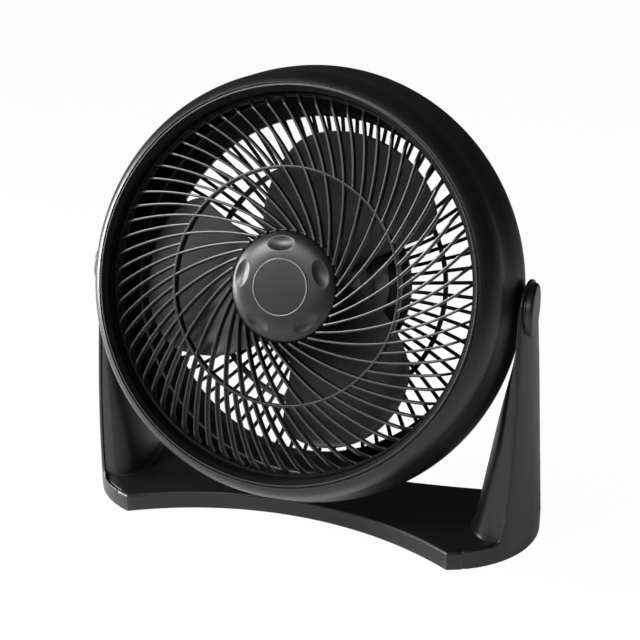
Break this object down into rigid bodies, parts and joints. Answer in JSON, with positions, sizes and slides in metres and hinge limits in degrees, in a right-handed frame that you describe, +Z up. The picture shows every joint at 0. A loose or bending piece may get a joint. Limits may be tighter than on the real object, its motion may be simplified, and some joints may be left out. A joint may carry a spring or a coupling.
{
  "type": "air circulator fan",
  "caption": "Round tilting air circulator fan on a U-shaped stand, with curved-rib front grille, radial rear grille, wide-blade impeller, motor and rear speed knob.",
  "frame": {"origin": "bottom centre of the bounding box, on the ground between the four feet", "axes": "+X to the viewer's right across the two arms, +Y to the back, +Z up; the fan blows towards -Y"},
  "size_m": [0.42, 0.1934, 0.395],
  "materials": {
    "black_plastic": "satin, fine moulded grain",
    "grille_plastic": "satin",
    "blade_plastic": "satin",
    "badge_plastic": "semi gloss",
    "switch_plastic": "matte",
    "rubber": "matte",
    "zinc_steel": "zinc plated",
    "steel": "ground",
    "dark_steel": "blackened",
    "cast_aluminium": "die cast",
    "copper_winding": "varnished copper wire",
    "bronze": "sintered"
  },
  "bodies": {
    "stand": {"base_plate": "black_plastic", "arm_right": "black_plastic", "arm_left": "black_plastic", "buttress_right": "black_plastic", "buttress_left": "black_plastic", "pivot_cap_right": "black_plastic", "pivot_cap_left": "black_plastic", "foot_front_left": "rubber", "foot_front_right": "rubber", "foot_back_left": "rubber", "foot_back_right": "rubber", "arm_screw_front_right": "zinc_steel", "arm_screw_front_left": "zinc_steel", "arm_screw_back_right": "zinc_steel", "arm_screw_back_left": "zinc_steel"},
    "head": {"shroud": "black_plastic", "front_grille": "grille_plastic", "hub_cap": "black_plastic", "hub_badge": "badge_plastic", "rear_grille": "grille_plastic", "grille_screw_1": "zinc_steel", "grille_screw_2": "zinc_steel", "grille_screw_3": "zinc_steel", "grille_screw_4": "zinc_steel", "motor_cover": "black_plastic", "cord_inlet": "rubber", "speed_switch": "switch_plastic", "motor_bracket": "dark_steel", "motor_shield_front": "cast_aluminium", "motor_shield_rear": "cast_aluminium", "stator_core": "dark_steel", "stator_coil_1": "copper_winding", "stator_coil_2": "copper_winding", "stator_coil_3": "copper_winding", "stator_coil_4": "copper_winding", "bearing_front": "bronze", "bearing_rear": "bronze", "trunnion_right": "black_plastic", "trunnion_left": "black_plastic", "pivot_washer_right": "steel", "pivot_washer_left": "steel", "pivot_screw_right": "zinc_steel", "pivot_screw_left": "zinc_steel"},
    "impeller": {"impeller": "blade_plastic", "motor_shaft": "steel", "rotor_core": "steel", "impeller_nut": "steel"},
    "knob": {"speed_knob": "black_plastic", "switch_spindle": "steel"}
  },
  "joints": [
    {"name": "head_tilt", "type": "hinge", "parent": "stand", "child": "head", "pos_m": [0, 0.01185, 0.2113], "axis": [-1, 0, 0], "range_deg": [-15, 75]},
    {"name": "impeller_spin", "type": "hinge", "parent": "head", "child": "impeller", "pos_m": [0, -0.01519, 0.21855], "axis": [0, -0.9659, 0.2588], "continuous": true},
    {"name": "speed_knob_turn", "type": "hinge", "parent": "head", "child": "knob", "pos_m": [0, 0.08005, 0.19303], "axis": [0, -0.9659, 0.2588], "range_deg": [0, 135]}
  ]
}
